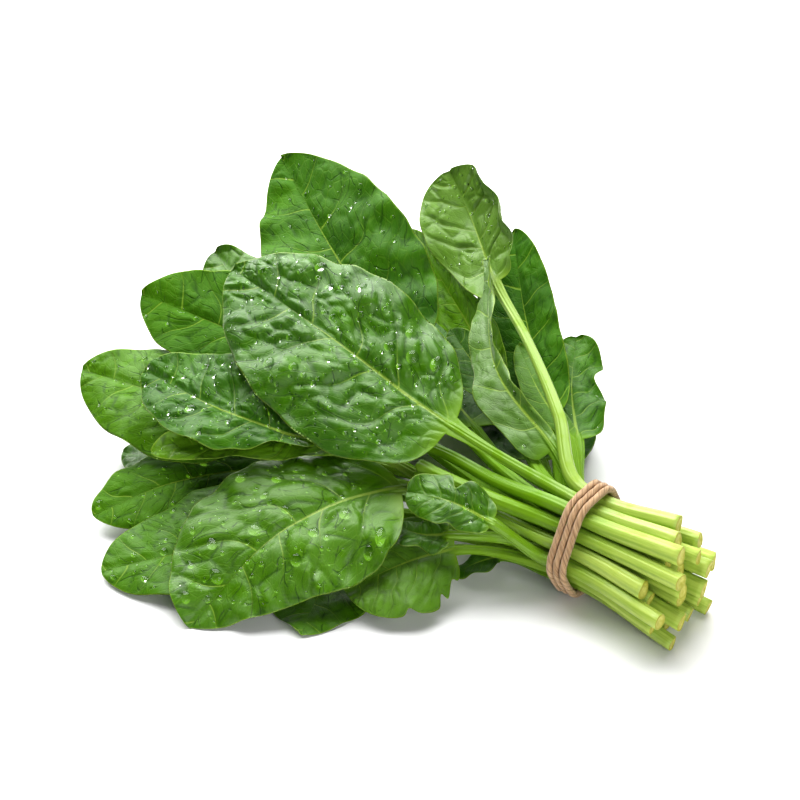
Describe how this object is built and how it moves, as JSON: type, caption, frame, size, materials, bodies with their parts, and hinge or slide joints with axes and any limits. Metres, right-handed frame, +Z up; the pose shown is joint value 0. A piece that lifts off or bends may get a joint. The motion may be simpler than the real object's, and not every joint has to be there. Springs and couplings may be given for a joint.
{
  "type": "spinach bunch",
  "caption": "Tied bunch of fresh flat-leaf spinach lying on its side, stems held by turns of twine, leaves fanned out.",
  "frame": {"origin": "middle of the underside of the whole bunch, on the surface it lies on", "axes": "+Z up; +X along the bunch towards the cut stem ends, so the leaf tips are at -X; -Y is the fuller side"},
  "size_m": [0.3086, 0.2632, 0.1123],
  "materials": {
    "spinach": "satin",
    "twine": "matte"
  },
  "bodies": {
    "root": {"twine_tie": "twine", "broken_stem": "spinach", "centre_leaf": "spinach", "top_leaf": "spinach", "pale_leaf": "spinach", "twisted_leaf": "spinach", "narrow_leaf": "spinach", "left_leaf": "spinach", "front_leaf": "spinach", "upper_left_leaf": "spinach", "small_upper_leaf": "spinach", "edge_leaf": "spinach", "rolled_leaf": "spinach", "far_left_leaf": "spinach", "two_lobed_leaf": "spinach", "arrow_leaf": "spinach", "low_left_leaf": "spinach", "low_front_leaf": "spinach", "ragged_leaf": "spinach", "bottom_leaf": "spinach", "faint_leaf": "spinach", "scrap_leaf": "spinach", "ragged_back_leaf": "spinach", "behind_leaf": "spinach", "curly_leaf": "spinach", "back_leaf": "spinach", "low_back_leaf": "spinach", "under_leaf": "spinach"}
  },
  "joints": []
}
